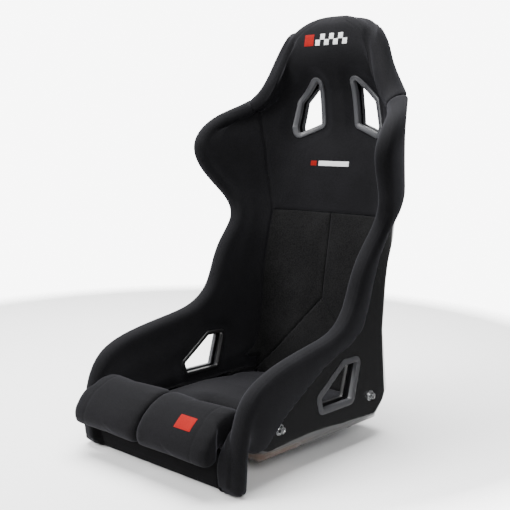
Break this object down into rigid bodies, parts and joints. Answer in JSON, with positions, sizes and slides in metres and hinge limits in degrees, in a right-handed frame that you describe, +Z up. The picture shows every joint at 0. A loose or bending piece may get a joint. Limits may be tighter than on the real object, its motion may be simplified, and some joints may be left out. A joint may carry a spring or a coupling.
{
  "type": "racing seat",
  "caption": "Fixed-back bucket racing seat with padded shoulder wings, high side bolsters, harness slots and side-mount bolts.",
  "frame": {"origin": "centre plane of the seat, on the flat underside of the pan", "axes": "+Z up, -Y the way the sitter faces, +X the seat's left"},
  "size_m": [0.5458, 0.6518, 0.9001],
  "materials": {
    "cover_fabric": "charcoal knitted velour, matte with a soft sheen",
    "mesh_fabric": "charcoal spacer mesh, matte",
    "foam": "open-cell foam",
    "hook_tape": "hook-and-loop tape",
    "shell_grp": "black gel-coated glass fibre laminate",
    "bezel_grey": "satin moulded plastic",
    "bezel_black": "satin moulded plastic",
    "zinc": "bright zinc plated",
    "steel": "plain steel"
  },
  "bodies": {
    "seat_shell": {"shell": "shell_grp", "head_cover": "cover_fabric", "front_lip_cover": "cover_fabric", "side_cover_left": "cover_fabric", "side_cover_right": "cover_fabric", "back_panel_left": "mesh_fabric", "back_panel_right": "mesh_fabric", "lumbar_panel": "mesh_fabric", "shoulder_bezel_inner_left": "bezel_grey", "shoulder_bezel_outer_left": "bezel_grey", "lap_bezel_inner_left": "bezel_black", "lap_bezel_outer_left": "bezel_grey", "shoulder_bezel_inner_right": "bezel_grey", "shoulder_bezel_outer_right": "bezel_grey", "lap_bezel_inner_right": "bezel_black", "lap_bezel_outer_right": "bezel_grey", "crotch_strap_bezel": "bezel_black", "flat_washer_front_left": "zinc", "spring_washer_front_left": "zinc", "mount_bolt_front_left": "zinc", "backing_plate_front_left": "steel", "weld_nut_front_left": "steel", "flat_washer_rear_left": "zinc", "spring_washer_rear_left": "zinc", "mount_bolt_rear_left": "zinc", "backing_plate_rear_left": "steel", "weld_nut_rear_left": "steel", "flat_washer_front_right": "zinc", "spring_washer_front_right": "zinc", "mount_bolt_front_right": "zinc", "backing_plate_front_right": "steel", "weld_nut_front_right": "steel", "flat_washer_rear_right": "zinc", "spring_washer_rear_right": "zinc", "mount_bolt_rear_right": "zinc", "backing_plate_rear_right": "steel", "weld_nut_rear_right": "steel", "pan_hook_strip_left": "hook_tape", "lip_hook_strip_left": "hook_tape", "pan_hook_strip_right": "hook_tape", "lip_hook_strip_right": "hook_tape"},
    "seat_cushion": {"seat_cushion_cover": "cover_fabric", "seat_cushion_foam": "foam", "seat_cushion_base": "hook_tape"},
    "thigh_cushion": {"thigh_cushion_cover": "cover_fabric", "thigh_cushion_foam_left": "foam", "thigh_cushion_foam_right": "foam", "thigh_cushion_base": "hook_tape"}
  },
  "joints": [
    {"name": "seat_cushion_lift", "type": "slide", "parent": "seat_shell", "child": "seat_cushion", "axis": [0, 0, 1], "range_m": [0, 0.25]},
    {"name": "thigh_cushion_lift", "type": "slide", "parent": "seat_shell", "child": "thigh_cushion", "axis": [0, 0, 1], "range_m": [0, 0.2]}
  ]
}
